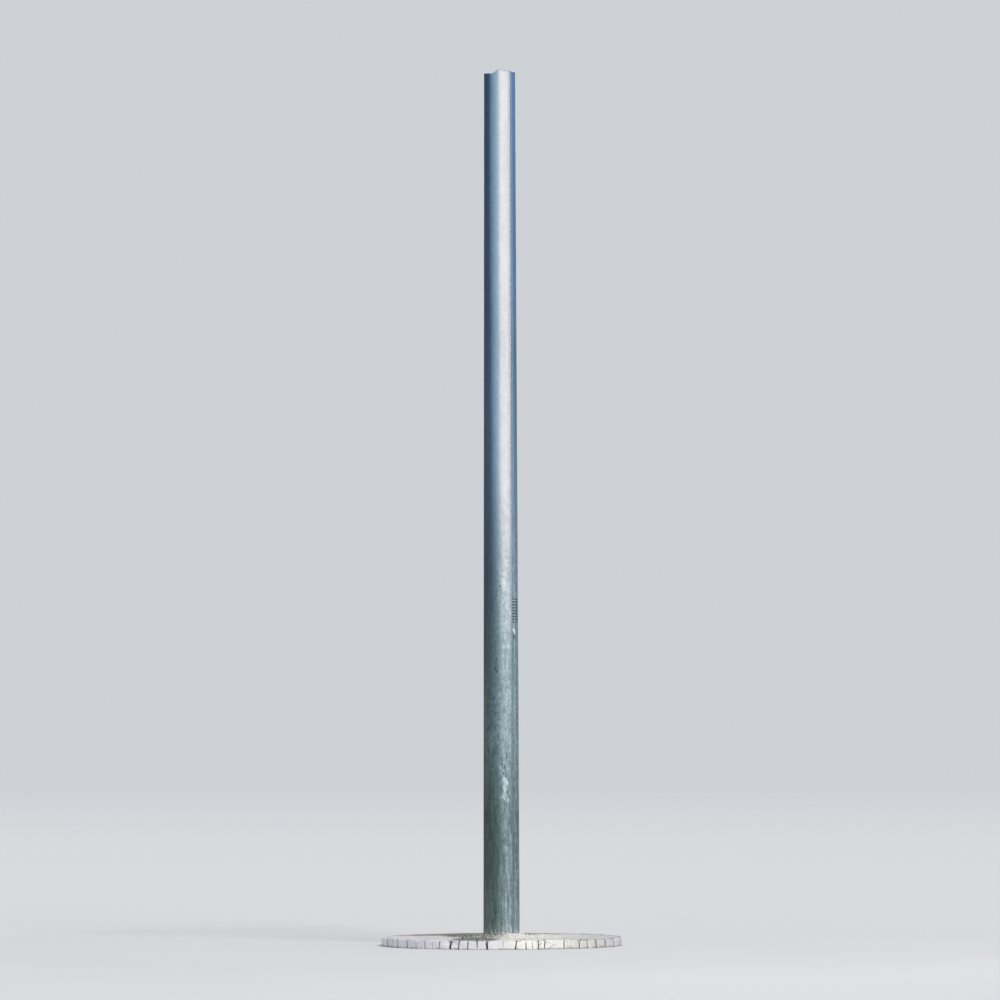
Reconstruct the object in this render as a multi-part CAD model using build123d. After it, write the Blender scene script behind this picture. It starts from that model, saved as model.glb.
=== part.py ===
from build123d import *
import math
import os

# A galvanized steel pole. A tapered tube, rolled from plate and closed by one seam weld,
# stands in a socket in a round cast concrete footing and is grouted in with mortar.
# Its open top end is cut by hand, and the footing's edge is split by frost cracks.
# Beside the seam, a mended patch of short weld runs lies above a frozen run of zinc.
#
# Millimetres, +Z up. The origin is on the pole's axis at ground level, which is the
# footing's underside. The front is the -Y side. Every bearing is in degrees from the
# front, and is positive towards +X.

# Tube
POLE_HEIGHT = 5068.0  # ground level to the highest point of the top rim
FOOT_DIAMETER = 210.0  # outside the tube, at ground level
TAPER = 5.8  # how much of its diameter the tube loses in each metre of height
TUBE_WALL = 5.0

# Top rim, as how far it lies below POLE_HEIGHT at even steps all the way round from its first bearing
RIM_FIRST_BEARING = -90.0
RIM_DROPS = (
    (20, 20, 20, 20, 22, 22.5, 21.5, 23.5, 24, 18.5, 10.5, 2)  # left of the front
    + (0.2, 3.5, 9.5, 9, 7, 8, 10, 13, 14, 13, 12, 11)  # right of the front
    + (12, 13, 12, 13, 12, 10, 9, 9, 10, 12, 14, 14)  # right of the back
    + (12, 11, 10, 10, 12, 15, 18, 18, 17, 16, 17, 19)  # left of the back
)

# Seam weld
SEAM_BEARING = 39.0
SEAM_CAP_WIDTH = 11.0  # at the tube's outside
SEAM_ROOT_WIDTH = 3.0  # at the tube's inside
SEAM_CROWN = 2.2  # how far the bead stands proud outside
SEAM_ROOT_PROUD = 1.0  # and inside

# Mended patch, a ladder of level weld runs laid one above another from the seam outwards
PATCH_RUNS = 8
PATCH_HEIGHT = 1935.0  # ground level to the middle of the patch
PATCH_PITCH = 16.8
PATCH_RUN_WIDTH = 13.0
PATCH_RUN_CROWN = 2.4
PATCH_FAR_BEARING = 73.0  # where the runs end, away from the seam

# Zinc run, frozen on the tube beside the seam
RUN_BEARING = 49.0
RUN_HEIGHT = 1813.0  # ground level to the middle of its bead
RUN_BEAD_RADIUS = 10.5
RUN_TAIL_RADIUS = 6.0
RUN_TAIL_LENGTH = 11.0

# Footing
SLAB_DIAMETER = 1400.0
SLAB_HEIGHT = 50.0
SLAB_ARRIS_RADIUS = 9.0
SOCKET_GAP = 35.0  # between its socket and the tube's foot, for the mortar

# Cracks in the footing's edge, as bearing, width at the edge, length inwards and sideways drift
EDGE_CRACKS = (
    (-71, 11, 150, 14),
    (-51, 6, 90, -9),
    (-25, 13, 190, -22),
    (-20.5, 7, 330, 26),
    (-7, 12, 120, 10),
    (7, 6, 105, -12),
    (21, 7, 160, 15),
    (39.5, 8, 230, -18),
    (50.5, 12, 110, 8),
    (58.5, 13, 175, -14),
    (69, 10, 95, 9),
    (97, 8, 210, 20),
    (121, 12, 140, -11),
    (139, 7, 285, 24),
    (166, 11, 120, -10),
    (187, 9, 195, 17),
    (209, 13, 100, -8),
    (226, 8, 250, -21),
    (253, 10, 130, 12),
)
CRACK_WAIST = 0.55  # how far in the crack bends, as a share of its length
CRACK_WAIST_WIDTH = 0.5  # its width there, as a share of its width at the edge
CRACK_TIP_WIDTH = 0.8

# Mortar collar
COLLAR_LAP = 28.0  # how far it laps over the footing, outside the socket
COLLAR_LIP = 3.0  # its thickness at its outer edge, on top of the footing
COLLAR_RISE = 11.0  # its height against the tube, above the footing
COLLAR_HOLLOW = 1.5  # how far its trowelled slope sags below a straight one

# How far a cutting body runs past what it cuts
OVERRUN = 20.0

MILLIMETRES_IN_A_METRE = 1000.0


def tube_radius(z):
    """The tube's outside radius at a height."""
    return (FOOT_DIAMETER - TAPER * z / MILLIMETRES_IN_A_METRE) / 2


HEAD_RADIUS = tube_radius(POLE_HEIGHT)
SLAB_RADIUS = SLAB_DIAMETER / 2
SOCKET_RADIUS = FOOT_DIAMETER / 2 + SOCKET_GAP
COLLAR_RADIUS = SOCKET_RADIUS + COLLAR_LAP


def at_bearing(radius, bearing, z=0.0):
    """The point at this distance from the pole's axis."""
    turn = math.radians(bearing)
    return (radius * math.sin(turn), -radius * math.cos(turn), z)


def turned(*lines):
    """The solid that a closed profile of X and Z makes when it turns about the pole's axis."""
    return revolve(make_face(Plane.XZ * sum(lines[1:], lines[0])), Axis.Z)


def tapered_core(offset, low, high):
    """A solid cone that runs from low to high, at this offset from the tube's outside."""
    return turned(
        Polyline(
            (0, low),
            (tube_radius(low) + offset, low),
            (tube_radius(high) + offset, high),
            (0, high),
            close=True,
        )
    )


def rim_line(radius):
    """The top rim at one radius, as a closed curve whose parameter counts its even steps."""
    steps = len(RIM_DROPS)
    points = [
        at_bearing(radius, RIM_FIRST_BEARING + 360 * step / steps, POLE_HEIGHT - drop)
        for step, drop in enumerate(RIM_DROPS)
    ]
    return Edge.make_spline(points, periodic=True, parameters=list(range(steps + 1)))


def rim_cutter():
    """All that lies above the uneven top rim: a ruled ring across the wall, drawn upwards.
    Both its edges share one parameter, so the rim is level across the wall."""
    inside = rim_line(HEAD_RADIUS - TUBE_WALL - OVERRUN)
    outside = rim_line(HEAD_RADIUS + OVERRUN)
    ring = Face.make_surface_from_curves(inside, outside)
    return extrude(ring, amount=max(RIM_DROPS) + 2 * OVERRUN, dir=(0, 0, 1))


def seam_bar():
    """The weld's cross-section, drawn along the tube's slope: a V through the wall and a crown."""
    start = Vector(*at_bearing(tube_radius(-OVERRUN), SEAM_BEARING, -OVERRUN))
    above = POLE_HEIGHT + 2 * OVERRUN
    along = Vector(*at_bearing(tube_radius(above), SEAM_BEARING, above)) - start
    side = Vector(*at_bearing(1, SEAM_BEARING + 90))
    plane = Plane(origin=start, x_dir=side, z_dir=along.normalized())
    # In this plane the tube's axis lies on the side of +Y.
    half_cap = SEAM_CAP_WIDTH / 2
    half_root = SEAM_ROOT_WIDTH / 2
    edge_depth = HEAD_RADIUS - math.sqrt(HEAD_RADIUS**2 - half_cap**2)
    root_depth = TUBE_WALL + SEAM_ROOT_PROUD
    groove = Polyline(
        (half_cap, edge_depth), (half_root, root_depth), (-half_root, root_depth), (-half_cap, edge_depth)
    )
    crown = ThreePointArc((-half_cap, edge_depth), (0, -SEAM_CROWN), (half_cap, edge_depth))
    return extrude(plane * make_face(groove + crown), amount=along.length)


def crack_wedge(bearing, width, length, drift):
    """The gap of one crack in the footing's edge: it narrows inwards and bends at its waist."""
    waist = width * CRACK_WAIST_WIDTH
    outline = Polyline(
        (-width / 2, -SLAB_RADIUS - OVERRUN),
        (width / 2, -SLAB_RADIUS - OVERRUN),
        (width / 2, -SLAB_RADIUS),
        (drift + waist / 2, -SLAB_RADIUS + length * CRACK_WAIST),
        (CRACK_TIP_WIDTH / 2, -SLAB_RADIUS + length),
        (-CRACK_TIP_WIDTH / 2, -SLAB_RADIUS + length),
        (drift - waist / 2, -SLAB_RADIUS + length * CRACK_WAIST),
        (-width / 2, -SLAB_RADIUS),
        close=True,
    )
    wedge = extrude(Plane.XY.offset(-OVERRUN) * make_face(outline), amount=SLAB_HEIGHT + 2 * OVERRUN)
    return Rot(0, 0, bearing) * wedge


def footing_slab():
    """The cast disc with its socket, a rounded top edge and its cracks."""
    shoulder = SLAB_HEIGHT - SLAB_ARRIS_RADIUS
    walls = Polyline(
        (SLAB_RADIUS - SLAB_ARRIS_RADIUS, SLAB_HEIGHT),
        (SOCKET_RADIUS, SLAB_HEIGHT),
        (SOCKET_RADIUS, 0),
        (SLAB_RADIUS, 0),
        (SLAB_RADIUS, shoulder),
    )
    arris = RadiusArc(
        (SLAB_RADIUS, shoulder), (SLAB_RADIUS - SLAB_ARRIS_RADIUS, SLAB_HEIGHT), -SLAB_ARRIS_RADIUS
    )
    return turned(walls, arris) - [crack_wedge(*crack) for crack in EDGE_CRACKS]


def mortar_collar(tube_and_seam):
    """The mortar that fills the socket round the tube and laps over the footing as a low haunch."""
    lip_top = SLAB_HEIGHT + COLLAR_LIP
    peak = SLAB_HEIGHT + COLLAR_RISE
    inner = tube_radius(peak)
    slope_middle = ((COLLAR_RADIUS + inner) / 2 - COLLAR_HOLLOW, (lip_top + peak) / 2 - COLLAR_HOLLOW)
    sides = Polyline(
        (inner, peak),
        (0, peak),
        (0, 0),
        (SOCKET_RADIUS, 0),
        (SOCKET_RADIUS, SLAB_HEIGHT),
        (COLLAR_RADIUS, SLAB_HEIGHT),
        (COLLAR_RADIUS, lip_top),
    )
    slope = ThreePointArc((COLLAR_RADIUS, lip_top), slope_middle, (inner, peak))
    return turned(sides, slope) - tube_and_seam


def patch_run(height, tube_and_seam):
    """One level weld run on the tube, from the seam's flank to the patch's far side."""
    radius = tube_radius(height)
    half_width = PATCH_RUN_WIDTH / 2
    crown = ThreePointArc(
        (radius, height - half_width), (radius + PATCH_RUN_CROWN, height), (radius, height + half_width)
    )
    base = Polyline(
        (radius, height + half_width),
        (radius - TUBE_WALL / 2, height),
        (radius, height - half_width),
    )
    # The profile lies at bearing 90, is turned to the patch's far side and sweeps back to the seam.
    seam_flank = SEAM_BEARING + math.degrees(SEAM_CAP_WIDTH / 4 / radius)
    sweep = PATCH_FAR_BEARING - seam_flank
    run = revolve(make_face(Plane.XZ * (crown + base)), Axis.Z, revolution_arc=-sweep)
    return Rot(0, 0, PATCH_FAR_BEARING - 90) * run - tube_and_seam


def mended_patch(tube_and_seam):
    """The ladder of weld runs beside the seam."""
    lowest = PATCH_HEIGHT - (PATCH_RUNS - 1) / 2 * PATCH_PITCH
    heights = [lowest + index * PATCH_PITCH for index in range(PATCH_RUNS)]
    return Compound(children=[patch_run(height, tube_and_seam) for height in heights])


def zinc_run(tube_and_seam):
    """A drop of zinc that froze as it ran: a thin tail down to a round bead, on the tube's outside."""
    tail_top = RUN_BEAD_RADIUS + RUN_TAIL_LENGTH
    flank = Spline(
        (RUN_TAIL_RADIUS, tail_top),
        (RUN_BEAD_RADIUS, 0),
        tangents=((0, -1), (0, -1)),
    )
    bead = JernArc((RUN_BEAD_RADIUS, 0), (0, -1), RUN_BEAD_RADIUS, -90)
    axis = Polyline((0, -RUN_BEAD_RADIUS), (0, tail_top), (RUN_TAIL_RADIUS, tail_top))
    drop = turned(flank, bead, axis)
    place = at_bearing(tube_radius(RUN_HEIGHT), RUN_BEARING, RUN_HEIGHT)
    return Pos(*place) * drop - tube_and_seam


def build():
    seam = seam_bar()
    above_ground = tapered_core(SEAM_CROWN + OVERRUN, 0, POLE_HEIGHT + OVERRUN)
    above_rim = rim_cutter()
    hollow = tapered_core(-TUBE_WALL, -OVERRUN, POLE_HEIGHT + OVERRUN)
    tube = tapered_core(0, 0, POLE_HEIGHT + OVERRUN / 2)
    filled = tapered_core(0, -OVERRUN, POLE_HEIGHT + OVERRUN) + seam
    return {
        "pole_shell": tube - hollow - seam - above_rim,
        "seam_weld": (seam & above_ground) - above_rim,
        "mended_patch": mended_patch(filled),
        "zinc_run": zinc_run(filled),
        "mortar_collar": mortar_collar(filled),
        "footing_slab": footing_slab(),
    }


os.makedirs("parts", exist_ok=True)
for node, shape in build().items():
    export_step(shape, f"parts/{node}.step")
    print(node, "solids", len(shape.solids()), "volume", round(shape.volume))
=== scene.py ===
import math
import random
from collections import namedtuple
from functools import reduce

import bmesh
import bpy
import numpy as np
from mathutils import Matrix, Vector, noise


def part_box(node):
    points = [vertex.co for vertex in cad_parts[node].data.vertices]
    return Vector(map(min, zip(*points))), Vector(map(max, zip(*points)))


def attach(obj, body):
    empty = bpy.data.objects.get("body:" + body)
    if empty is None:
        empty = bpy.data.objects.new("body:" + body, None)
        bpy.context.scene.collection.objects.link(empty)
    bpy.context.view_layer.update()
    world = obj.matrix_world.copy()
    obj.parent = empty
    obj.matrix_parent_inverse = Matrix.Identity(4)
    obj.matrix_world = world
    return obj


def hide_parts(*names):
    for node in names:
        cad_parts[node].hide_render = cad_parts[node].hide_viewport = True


# The looks of a galvanized steel pole in a cracked concrete footing.
# Metres, +Z up, as in the frame. A bearing is in degrees from the front, which is the -Y side,
# and is positive towards +X. Colours are linear.

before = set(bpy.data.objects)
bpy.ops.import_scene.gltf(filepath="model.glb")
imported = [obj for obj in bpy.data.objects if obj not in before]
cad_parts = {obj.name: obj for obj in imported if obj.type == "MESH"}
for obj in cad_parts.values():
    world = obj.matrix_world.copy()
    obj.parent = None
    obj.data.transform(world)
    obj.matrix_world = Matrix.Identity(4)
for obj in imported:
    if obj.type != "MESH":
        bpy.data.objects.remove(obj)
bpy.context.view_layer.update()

# Read from the frame
SLAB_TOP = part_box("footing_slab")[1].z
SLAB_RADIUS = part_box("footing_slab")[1].x
COLLAR_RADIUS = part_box("mortar_collar")[1].x
POLE_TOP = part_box("pole_shell")[1].z
FOOT_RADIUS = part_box("pole_shell")[1].x

# The tube
WALL = 0.005
RIM_BAND = 0.03  # all of the uneven rim lies this close under POLE_TOP
TUBE_COLUMNS = 240
TUBE_ROW_STEP = 0.02
PLATE_FLAT = 0.015  # the plate's edges stay flat this far to each side of the seam
WAVE_DEPTH = 0.00035
# Across the cut rim from outside to inside: share of the wall and how far the edge has melted down
CUT_PROFILE = ((0.0, 0.0012), (0.14, 0.0002), (0.5, 0.0), (0.86, 0.0004), (1.0, 0.0015))
CUT_NOTCH = 0.0007
# Under the rim: share of the way up to it and how scorched the zinc is there
UNDER_RIM = ((0.2, 0.0), (0.4, 0.0), (0.6, 0.0), (0.8, 0.0), (0.9, 0.15), (0.96, 0.5))
INSIDE_DEPTHS = (0.006, 0.02, 0.06, 0.16, 0.4, 0.9, 1.6, 2.4, 3.2, 4.0, 4.6)

# The seam weld and the patch of weld runs beside it
SEAM_BEARING = 39.0
SEAM_WIDTH = 0.0115
SEAM_CROWN = 0.0022
SEAM_RIPPLE = 0.009
RIPPLE_PEAK = 0.72  # how far along a ripple its crest lies
COARSE_STRETCH = (4.865, 4.925)  # the seam was started anew here, in coarser ripples
COARSE_FADE = 0.01
COARSE_RIPPLE = 0.0125
BEAD_END = 0.0015  # the seam's bead ends this far under the rim
BEAD_SINK = 0.0015  # how far the undersides of the beads lie in the tube's wall
ROOT_WIDTH_DEGREES = 1.0
# Across the small bead inside the tube: side and how far it stands out from the wall
ROOT_PROFILE = ((-1.0, -0.0003), (-0.5, 0.0006), (0.0, 0.001), (0.5, 0.0006), (1.0, -0.0003))
PATCH_RUNS = 8
PATCH_PITCH = 0.0168
PATCH_RUN_WIDTH = 0.0115
PATCH_RUN_CROWN = 0.0026
PATCH_BEARINGS = (41.5, 73.0)
PATCH_RIPPLE = 0.006

# The zinc's tone by height: bright high up, dull and dirty near the ground, and darker low down as a
# painted reflection of a dark ground
ZINC_TONES_AND_PAINTED_REFLECTION = (
    (0.1, (0.335, 0.43, 0.455)),
    (0.44, (0.305, 0.395, 0.42)),
    (0.73, (0.265, 0.345, 0.375)),
    (1.19, (0.405, 0.5, 0.54)),
    (1.65, (0.43, 0.53, 0.57)),
    (2.0, (0.55, 0.635, 0.675)),
    (2.6, (0.67, 0.71, 0.745)),
    (3.7, (0.68, 0.715, 0.75)),
    (5.0, (0.7, 0.735, 0.77)),
)
# How much painted shade darkens the zinc left of the front, by height
LEFT_SHADE_SHARES = (
    (0.2, 0.4), (0.44, 0.62), (0.73, 0.45), (1.0, 0.25), (1.19, 0.08),
    (1.4, 0.25), (1.65, 0.45), (2.0, 0.52), (2.6, 0.2), (3.0, 0.0),
)
# Marks on the tube: bearing, height, half width and half height
RUBBED_MARKS = (
    (13.6, 0.932, 0.0155, 0.052),
    (12.5, 0.866, 0.0105, 0.03),
    (0.0, 0.858, 0.0065, 0.013),
    (22.0, 0.838, 0.0055, 0.018),
    (-3.0, 1.022, 0.0045, 0.021),
    (-9.4, 2.007, 0.004, 0.008),
    (-22.6, 1.771, 0.004, 0.007),
)
DARK_MARKS = (
    (2.3, 1.047, 0.0045, 0.01),
    (10.4, 1.03, 0.005, 0.011),
    (7.1, 0.995, 0.0045, 0.01),
    (17.1, 0.98, 0.0045, 0.009),
    (17.1, 1.1, 0.0026, 0.024),
    (-19.4, 1.6, 0.0045, 0.009),
    (-12.8, 1.582, 0.0045, 0.009),
    (-14.8, 1.655, 0.0035, 0.007),
    (-2.0, 2.076, 0.0035, 0.008),
)
# A painted highlight: a thin light line down the tube beside the seam, and down the middle of the weld
# patch
HIGHLIGHT_LINE_BEARING = 52.5
HIGHLIGHT_LINE_HALF_WIDTH = 0.0035
# A painted shadow under the zinc drop: bearing, height, half width and half height
DROP_SHADOW_MARK = (48.0, 1.787, 0.007, 0.016)
# The film of cement on the foot: how far over the footing it ends, and up to where it is thickest
FILM_TOP = 0.15
FILM_FULL = 0.01

# The frozen drop of zinc. Its size is its half width, thickness and half height
DROP_BEARING = 49.5
DROP_HEIGHT = 1.814
DROP_SIZE = (0.0115, 0.0065, 0.0175)
DROP_SLANT = 0.0065

# Mortar splashed up the foot where the photo shows it: bearing, width and height of each streak
SPLASHES = (
    (-15, 0.016, 0.02),
    (6, 0.018, 0.034),
    (17, 0.016, 0.024),
    (36, 0.024, 0.026),
    (58, 0.018, 0.016),
)
MORE_SPLASHES = 14
SPLASH_THICKNESS = 0.0016

# The footing's edge cracks: bearing, width at the edge, length inwards and sideways drift
EDGE_CRACKS = (
    (-71, 0.011, 0.15, 0.014),
    (-51, 0.006, 0.09, -0.009),
    (-25, 0.013, 0.19, -0.022),
    (-20.5, 0.007, 0.33, 0.026),
    (-7, 0.012, 0.12, 0.01),
    (7, 0.006, 0.105, -0.012),
    (21, 0.007, 0.16, 0.015),
    (39.5, 0.008, 0.23, -0.018),
    (50.5, 0.012, 0.11, 0.008),
    (58.5, 0.013, 0.175, -0.014),
    (69, 0.01, 0.095, 0.009),
    (97, 0.008, 0.21, 0.02),
    (121, 0.012, 0.14, -0.011),
    (139, 0.007, 0.285, 0.024),
    (166, 0.011, 0.12, -0.01),
    (-173, 0.009, 0.195, 0.017),
    (-151, 0.013, 0.1, -0.008),
    (-134, 0.008, 0.25, -0.021),
    (-107, 0.01, 0.13, 0.012),
)
# Finer cracks by their bearings: some run the whole height of the edge, some are only hairs
FINE_CRACKS = (
    -59.3, -39, -30.4, -16, -11.6, 11.6, 17.6, 31, 44.7,
    84, 113, 130, 157, 176, -164, -143, -118, -97,
)
HAIR_CRACKS = (
    -64.5, -44.7, -34.3, 0.7, 14.5, 34.6, 64, 78, 90,
    103, 108, 126, 150, -179, -158, -126, -84,
)
FINE_CRACK_WIDTH = 0.006
HAIR_CRACK_WIDTH = 0.0035
WIDE_CRACK = 0.00695  # cracks wider than this bend more on their way down
WIDE_SWING = 0.0042
FINE_SWING = 0.0026
CRACK_WAIST = 0.55  # how far in a crack turns back, as a share of its length
CRACK_DEPTH = 0.028
CRACK_PULL = 4.5  # degrees to each side over which a winding crack drags the mesh along
# Across a crack, in half widths: place, share of the depth, darkness of dirt and painted shade
CRACK_PROFILE = (
    (-1.6, 0.0, 0.0),
    (-1.0, 0.0, 0.55),
    (-0.75, 0.7, 1.0),
    (-0.3, 1.0, 1.0),
    (0.3, 1.0, 1.0),
    (0.75, 0.7, 1.0),
    (1.0, 0.0, 0.55),
    (1.6, 0.0, 0.0),
)
# Cracks that run from the edge back over the top: where they start and where they go to, as Y
# and X, and the Y at which they end
LONG_CRACKS = (
    ((-0.655, -0.244), (-0.43, -0.223), 0.24),
    ((-0.685, -0.141), (-0.47, -0.13), -0.22),
    ((-0.695, 0.085), (-0.45, 0.13), -0.3),
    ((-0.667, 0.212), (-0.45, 0.245), -0.34),
    ((-0.54, 0.445), (-0.38, 0.462), -0.33),
)
LONG_CRACK_HALF_WIDTH = 0.0062
SLAB_COLUMN_STEP = 0.75
SLAB_WEAR = 0.0015  # the worn surface lies this far inside the cast one
# Chips along the edge: how fine, seed, how rare and how deep
CHIPS = ((16.0, 3.0, 0.24, 0.028), (42.0, 8.0, 0.32, 0.014))
# How far a block between two cracks can have moved: outwards and upwards
BLOCK_OUT = (-0.005, 0.0)
BLOCK_UP = (-0.0035, 0.001)
SLAB_ARRIS = 0.009
SOCKET_LAP = 0.028  # the mortar laps this far over the footing
# The concrete's tones from left to right: swept clean, trodden on, and covered by earth. The first two
# hold painted light: painted shade on the darker, bluish left and painted sunlight right of the foot
CLEAN_TONES_AND_PAINTED_LIGHT = (
    (-0.7, (0.72, 0.705, 0.765)),
    (-0.08, (0.73, 0.72, 0.76)),
    (0.08, (0.87, 0.855, 0.825)),
    (0.3, (0.85, 0.835, 0.805)),
    (0.42, (0.64, 0.64, 0.605)),
    (0.52, (0.6, 0.6, 0.58)),
    (0.62, (0.61, 0.6, 0.64)),
    (0.7, (0.58, 0.57, 0.61)),
)
TRODDEN_TONES_AND_PAINTED_LIGHT = (
    (-0.7, (0.67, 0.66, 0.655)),
    (0.0, (0.69, 0.685, 0.665)),
    (0.14, (0.85, 0.84, 0.805)),
    (0.34, (0.84, 0.83, 0.795)),
    (0.46, (0.74, 0.735, 0.715)),
    (0.7, (0.62, 0.615, 0.61)),
)
EARTH_TONES = (
    (-0.7, (0.43, 0.35, 0.275)),
    (-0.3, (0.33, 0.27, 0.205)),
    (-0.05, (0.21, 0.195, 0.13)),
    (0.7, (0.155, 0.15, 0.08)),
)

# The mortar round the foot: its height at the tube where it is low and where it is heaped up
MORTAR_LOW = 0.004
MORTAR_HEAP = 0.019
HEAP_BEARING = 48.0
HEAP_SPREAD = 62.0
MORTAR_COLUMNS = 300
MORTAR_INSET = 0.001
CRUMBS = 260
CRUMB_BULGE = 0.35

# The photo's camera, in pixels of the photo
IMAGE_SIZE = 1000
FOCAL_PIXELS = 7350.0
PIXELS_PER_METRE = 172.75  # at the pole
HORIZON_ROW = 681.0
FOOT_ROW = 936.3
FOOT_COLUMN = 501.6
TOP_ROW = 69.5
TOP_COLUMN = 499.6
SENSOR_MILLIMETRES = 36.0

# The light. What the steel mirrors at each bearing is a panel that only reflections see.
WORLD_COLOUR = (0.77, 0.8, 0.84)
WORLD_STRENGTH = 0.8
FLOOR_COLOUR = (0.68, 0.69, 0.7)
SUN_BEARING = 33.0
SUN_ELEVATION = 40.0
SUN_ANGLE = 28.0
SUN_STRENGTH = 2.0
SUN_COLOUR = (1.0, 0.95, 0.91)
PANEL_DISTANCE = 3.6
PANEL_HEIGHT = 9.0
PANEL_SIDES = (-165.0, 160.0)
# The panel is dark up to this bearing, by height
DARK_EDGES = ((0.3, -28.0), (0.73, -31.0), (1.19, -42.0), (1.65, -58.0), (2.6, -68.0), (4.7, -85.0))
DARK_TONES = (
    (0.2, (0.145, 0.17, 0.095)),
    (0.73, (0.16, 0.185, 0.1)),
    (1.19, (0.25, 0.27, 0.23)),
    (1.65, (0.085, 0.11, 0.13)),
    (2.6, (0.07, 0.1, 0.145)),
    (3.7, (0.055, 0.085, 0.135)),
    (5.0, (0.044, 0.074, 0.132)),
)
# From the dark edge to where the panel is brightest, by share of the way
BRIGHT_START = 3.0
LEFT_STOPS = (
    (0.0, (0.05, 0.08, 0.14)),
    (0.11, (0.105, 0.18, 0.29)),
    (0.25, (0.165, 0.27, 0.4)),
    (0.67, (0.375, 0.52, 0.66)),
    (0.8, (0.5, 0.63, 0.75)),
    (0.88, (0.64, 0.74, 0.83)),
    (1.0, (1.17, 1.1, 1.08)),
)
# Low down the rise loses its blue
RISE_TINTS = (
    (0.7, (1.0, 1.05, 0.68)),
    (1.2, (1.02, 1.06, 0.74)),
    (1.7, (1.0, 1.04, 0.84)),
    (2.5, (1.0, 1.0, 1.0)),
)
# Past the bright part it goes from pale to a tone that changes with height
BRIGHT_END = (58.0, 65.0)
RIGHT_FRONT = (0.66, 0.75, 0.85)
RIGHT_BLEND = (
    (64.0, 0.0), (72.0, 0.15), (81.0, 0.3), (91.0, 0.55),
    (102.0, 0.9), (110.0, 1.0), (160.0, 1.0),
)
LIMB_TONES = (
    (0.2, (0.45, 0.53, 0.44)),
    (0.73, (0.4, 0.48, 0.38)),
    (1.19, (0.45, 0.49, 0.44)),
    (1.65, (0.37, 0.43, 0.39)),
    (2.6, (0.135, 0.25, 0.37)),
    (3.7, (0.13, 0.22, 0.36)),
    (5.0, (0.135, 0.27, 0.49)),
)


# Shape helpers


def measure_tube():
    """How fast the tube narrows with height, and its rim as sorted bearings and heights."""
    points = np.array([v.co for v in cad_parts["pole_shell"].data.vertices])
    high = points[points[:, 2] > POLE_TOP - RIM_BAND]
    radii = np.hypot(high[:, 0], high[:, 1])
    outside = high[radii > radii.max() - WALL / 2]
    slope = (FOOT_RADIUS - radii.max()) / outside[:, 2].mean()
    bearings = np.degrees(np.arctan2(outside[:, 0], -outside[:, 1]))
    order = np.argsort(bearings)
    return slope, bearings[order], outside[order, 2]


TUBE_SLOPE, RIM_BEARINGS, RIM_HEIGHTS = measure_tube()


def tube_radius(z):
    return FOOT_RADIUS - TUBE_SLOPE * z


def at_bearing(radius, bearing, z):
    turn = math.radians(bearing)
    return (radius * math.sin(turn), -radius * math.cos(turn), z)


def turn_between(bearing, other):
    """The signed turn from other to bearing, from -180 to 180 degrees."""
    return (bearing - other + 180.0) % 360.0 - 180.0


def smooth(low, high, value):
    t = min(max((value - low) / (high - low), 0.0), 1.0)
    return t * t * (3.0 - 2.0 * t)


def wobble(point, scale, seed=0.0):
    """Smooth noise from about -1 to 1 that changes over 1/scale metres."""
    return noise.noise(Vector(point) * scale + Vector((seed, seed * 1.7, seed * 2.3)))


def plate_peak(bearing, z):
    """How far the flat plate edges stand outside the round, beside the seam."""
    away = abs(math.radians(turn_between(bearing, SEAM_BEARING))) * tube_radius(z)
    return max(0.0, PLATE_FLAT - away) ** 2 / (2.0 * tube_radius(z))


def tube_skin(bearing, z):
    """The tube's outside radius with its flats and its slight waves."""
    around = at_bearing(tube_radius(z), bearing, z * 0.35)
    wave = wobble(around, 9.0) + 0.4 * wobble(around, 26.0, 5.0)
    return tube_radius(z) + plate_peak(bearing, z) + WAVE_DEPTH * wave


def grid_faces(rows, columns, close_rows=False, close_columns=True):
    """The quads of a grid whose points run row by row."""
    faces = []
    for row in range(rows if close_rows else rows - 1):
        here = row * columns
        above = (row + 1) % rows * columns
        for column in range(columns if close_columns else columns - 1):
            beside = (column + 1) % columns
            faces.append((here + column, here + beside, above + beside, above + column))
    return faces


def flipped(faces):
    return [face[::-1] for face in faces]


def placed(name, data):
    """A new object in the scene."""
    thing = bpy.data.objects.new(name, data)
    bpy.context.scene.collection.objects.link(thing)
    return thing


def add_piece(name, points, faces, material):
    """A mesh piece that rides on the part's one body."""
    mesh = bpy.data.meshes.new(name)
    mesh.from_pydata(points, [], faces)
    mesh.polygons.foreach_set("use_smooth", [True] * len(mesh.polygons))
    mesh.materials.append(material)
    mesh.update()
    piece = placed(name, mesh)
    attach(piece, "root")
    return piece


def add_shares(piece, name, shares):
    """Gives each point of a piece a number that its material can use. Points without one get 0."""
    shares = shares + [0.0] * (len(piece.data.vertices) - len(shares))
    piece.data.attributes.new(name, "FLOAT", "POINT").data.foreach_set("value", shares)


def unit_lump(subdivisions):
    """The corners and faces of a ball of radius 1."""
    shape = bmesh.new()
    bmesh.ops.create_icosphere(shape, subdivisions=subdivisions, radius=1.0)
    corners = [v.co.copy() for v in shape.verts]
    faces = [tuple(v.index for v in face.verts) for face in shape.faces]
    shape.free()
    return corners, faces


def add_lump(points, faces, lump, middle, turn, size, seed):
    """A rough, bulging pebble added to a list of points and faces. size is its three half sizes."""
    corners, lump_faces = lump
    start = len(points)
    for corner in corners:
        swell = 1.0 + CRUMB_BULGE * noise.noise(corner * 1.6 + Vector((seed * 3.1, 0.0, 0.0)))
        local = Vector([corner[i] * size[i] * swell for i in range(3)])
        points.append(tuple(middle + turn @ local))
    faces += [tuple(start + i for i in face) for face in lump_faces]


# Material helpers


def rgba(colour):
    """A colour with its alpha. A plain number is a grey."""
    return (*((colour,) * 3 if isinstance(colour, float) else colour), 1.0)


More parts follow.
